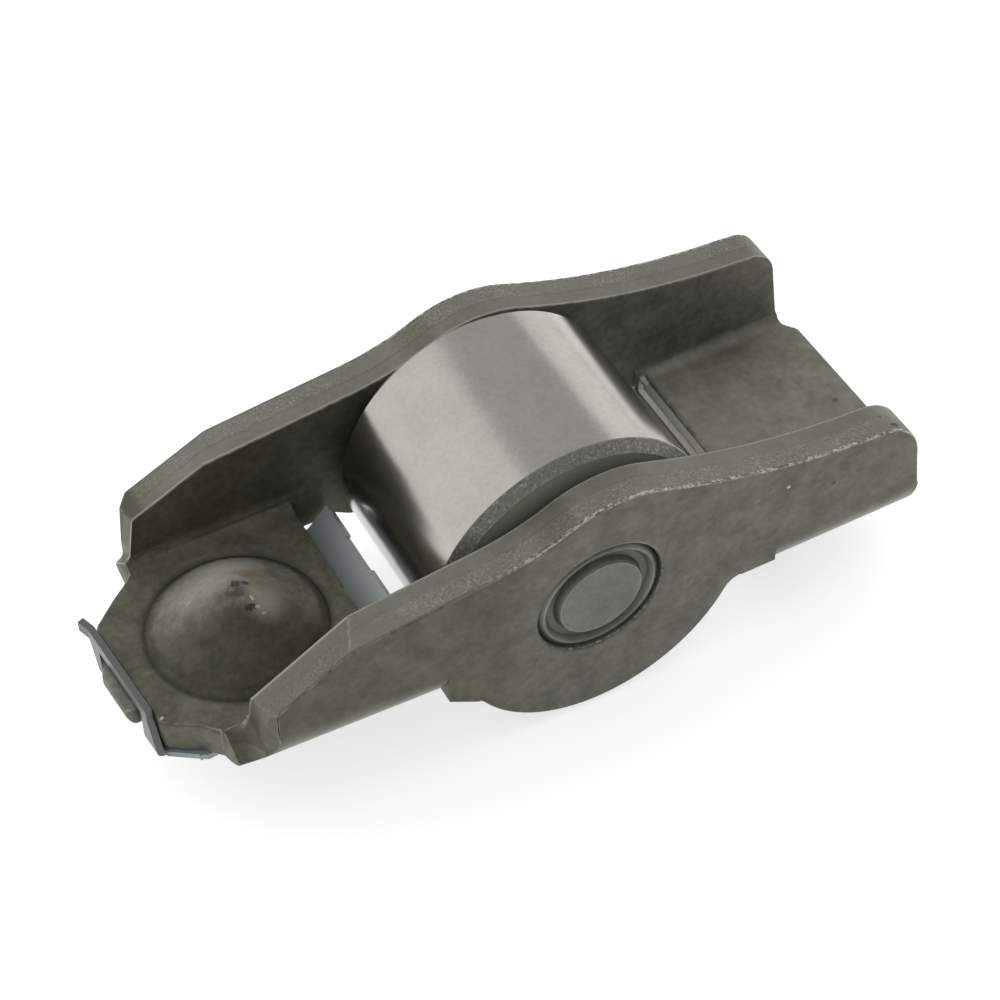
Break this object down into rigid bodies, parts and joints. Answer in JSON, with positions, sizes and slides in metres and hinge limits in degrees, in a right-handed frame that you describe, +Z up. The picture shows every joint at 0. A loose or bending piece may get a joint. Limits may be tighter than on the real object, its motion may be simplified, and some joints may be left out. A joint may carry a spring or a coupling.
{
  "type": "roller finger follower rocker arm",
  "caption": "Sheet-steel finger follower with a ball socket at one end, a valve pad at the other and a needle-bearing roller between its walls.",
  "frame": {"origin": "centre of the ball socket, which is the pivot on the lash adjuster", "axes": "+X along the lever to the valve end, +Y along the roller's axis, +Z up towards the cam"},
  "size_m": [0.0479, 0.018, 0.0174],
  "materials": {
    "lever_steel": "case-hardened and tumbled, dull dark grey with a faint olive tint",
    "spring_steel": "bare spring steel, bluish grey",
    "axle_steel": "turned, staked ends, dull",
    "bearing_steel": "ground and honed, satin bright",
    "needle_steel": "ground bright"
  },
  "bodies": {
    "lever_body": {"lever": "lever_steel", "retaining_clip": "spring_steel", "axle_pin": "axle_steel"},
    "roller_body": {"roller": "bearing_steel"},
    "needle_set": {"needle_01": "needle_steel", "needle_02": "needle_steel", "needle_03": "needle_steel", "needle_04": "needle_steel", "needle_05": "needle_steel", "needle_06": "needle_steel", "needle_07": "needle_steel", "needle_08": "needle_steel", "needle_09": "needle_steel", "needle_10": "needle_steel", "needle_11": "needle_steel", "needle_12": "needle_steel", "needle_13": "needle_steel", "needle_14": "needle_steel", "needle_15": "needle_steel", "needle_16": "needle_steel"}
  },
  "joints": [
    {"name": "roller_spin", "type": "hinge", "parent": "lever_body", "child": "roller_body", "pos_m": [0.0177, 0, 0.0051], "axis": [0, 1, 0], "continuous": true},
    {"name": "needle_orbit", "type": "hinge", "parent": "lever_body", "child": "needle_set", "pos_m": [0.0177, 0, 0.0051], "axis": [0, 1, 0], "continuous": true}
  ],
  "couplings": [
    {"joint": "needle_orbit", "follows": "roller_spin", "ratio": 0.59544}
  ]
}
